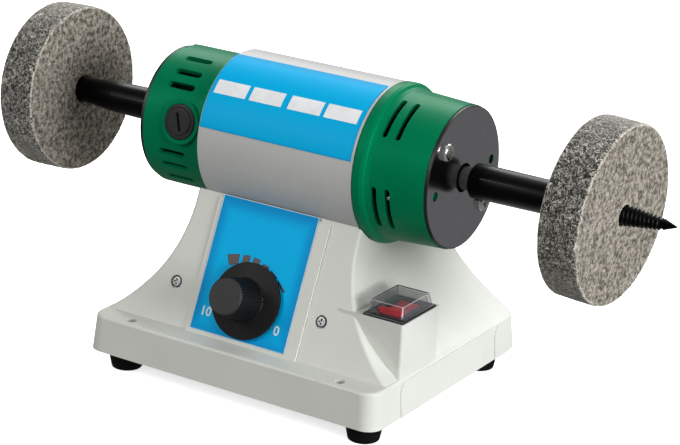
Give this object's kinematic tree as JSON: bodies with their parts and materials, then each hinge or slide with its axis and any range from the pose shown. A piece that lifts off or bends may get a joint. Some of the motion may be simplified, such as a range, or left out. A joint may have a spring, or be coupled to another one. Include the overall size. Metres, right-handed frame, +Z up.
{
  "type": "polishing lathe",
  "caption": "Bench polishing lathe: sloped control base, horizontal motor with vented end bells, a screw taper spindle and fibre wheel at each end, speed knob and covered rocker switch.",
  "frame": {"origin": "on the bench at the foot undersides, midway between the feet and under the motor axis", "axes": "+X along the motor axis to the switch side, +Y to the rear, +Z up; the control panel faces -Y"},
  "size_m": [0.3372, 0.1265, 0.1407],
  "materials": {
    "base_paint": "satin light grey paint on a casting",
    "plate_paint": "grey painted sheet",
    "zinc_screw": "bright zinc",
    "foot_rubber": "moulded black rubber",
    "gland_rubber": "moulded black rubber",
    "blue_label": "printed blue label",
    "pot_case": "plated can",
    "knob_black": "moulded black plastic",
    "board": "green laminate",
    "sink_aluminium": "bare extrusion",
    "black_epoxy": "moulded epoxy",
    "capacitor_case": "yellow film capacitor case",
    "copper": "enamelled copper wire",
    "switch_black": "glossy black",
    "rocker_red": "glossy red",
    "boot_clear": "clear flexible cover",
    "brass": "plain brass",
    "shell_paint": "satin light grey paint",
    "bell_green": "gloss green paint",
    "disc_grey": "semi-gloss dark grey paint",
    "lead_red": "insulated wire",
    "lamination": "stacked steel laminations",
    "shaft_steel": "ground steel",
    "insulation": "insulating tube",
    "fan_plastic": "moulded fan",
    "bearing_steel": "polished bearing steel",
    "holder_black": "moulded black",
    "carbon": "carbon brush",
    "spring_steel": "spring wire",
    "spindle_black": "black oxide",
    "wheel_fibre": "grey non-woven fibre"
  },
  "bodies": {
    "stand": {"base_housing": "base_paint", "bottom_plate": "plate_paint", "bottom_plate_screws": "zinc_screw", "rubber_feet": "foot_rubber", "foot_screws": "zinc_screw", "foot_nuts": "zinc_screw", "cord_gland": "gland_rubber", "panel_label": "blue_label", "potentiometer_body": "pot_case", "potentiometer_washer": "zinc_screw", "potentiometer_nut": "zinc_screw", "circuit_board": "board", "case_screws": "zinc_screw", "case_screw_nuts": "zinc_screw", "heat_sink": "sink_aluminium", "triac": "black_epoxy", "filter_capacitor": "capacitor_case", "choke": "copper", "switch_body": "switch_black", "switch_boot": "boot_clear", "switch_terminals": "brass", "motor_shell": "shell_paint", "name_label": "blue_label", "saddle_screws": "zinc_screw", "left_end_bell": "bell_green", "right_end_bell": "bell_green", "left_end_plate": "disc_grey", "right_end_plate": "disc_grey", "end_plate_screws": "zinc_screw", "tie_bolts": "zinc_screw", "motor_leads": "lead_red", "stator_core": "lamination", "field_coils": "copper", "left_bearing_outer_ring": "bearing_steel", "left_bearing_balls": "bearing_steel", "right_bearing_outer_ring": "bearing_steel", "right_bearing_balls": "bearing_steel", "brush_holders": "holder_black", "brush_tubes": "brass", "carbon_brushes": "carbon", "brush_springs": "spring_steel", "brush_caps": "holder_black"},
    "rotor": {"motor_shaft": "shaft_steel", "armature_core": "lamination", "armature_windings": "copper", "armature_sleeves": "insulation", "commutator": "copper", "cooling_fan": "fan_plastic", "left_bearing_inner_ring": "bearing_steel", "right_bearing_inner_ring": "bearing_steel", "left_spindle": "spindle_black", "left_spindle_grub_screw": "zinc_screw", "left_wheel": "wheel_fibre", "right_spindle": "spindle_black", "right_spindle_grub_screw": "zinc_screw", "right_wheel": "wheel_fibre"},
    "knob": {"speed_knob": "knob_black", "potentiometer_shaft": "pot_case"},
    "rocker": {"switch_rocker": "rocker_red"}
  },
  "joints": [
    {"name": "spindle_spin", "type": "hinge", "parent": "stand", "child": "rotor", "pos_m": [0, 0, 0.103], "axis": [1, 0, 0], "continuous": true},
    {"name": "knob_turn", "type": "hinge", "parent": "stand", "child": "knob", "pos_m": [-0.0022, -0.04316, 0.04292], "axis": [0, -0.9178, 0.3971], "range_deg": [-40, 195]},
    {"name": "rocker_tilt", "type": "hinge", "parent": "stand", "child": "rocker", "pos_m": [0.0616, -0.0259, 0.0481], "axis": [1, 0, 0], "range_deg": [0, 18]}
  ]
}
